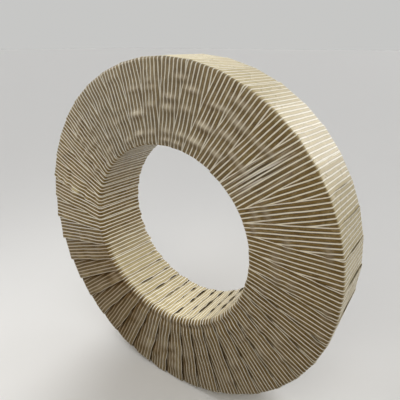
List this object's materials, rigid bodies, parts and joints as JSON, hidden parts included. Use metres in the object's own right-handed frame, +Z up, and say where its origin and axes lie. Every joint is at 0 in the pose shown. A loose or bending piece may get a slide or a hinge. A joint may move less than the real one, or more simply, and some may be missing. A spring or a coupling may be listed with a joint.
{
  "type": "coil of stainless steel strip",
  "caption": "Narrow stainless steel strip wound into an upright ring coil, packed in striped paper tape that laps turn on turn through the bore.",
  "frame": {"origin": "on the floor, under the middle of the coil", "axes": "+Z up, Y along the coil's axis with the front end at -Y, +X to the right seen from the front"},
  "size_m": [0.9402, 0.165, 0.9394],
  "materials": {
    "steel": "bright rolled strip, seen as fine concentric turns on the ends",
    "wrap": "woven brown crepe paper tape with fine white stripes along it, slightly glossy"
  },
  "bodies": {
    "root": {"strip_coil": "steel", "paper_wrap": "wrap"}
  },
  "joints": []
}
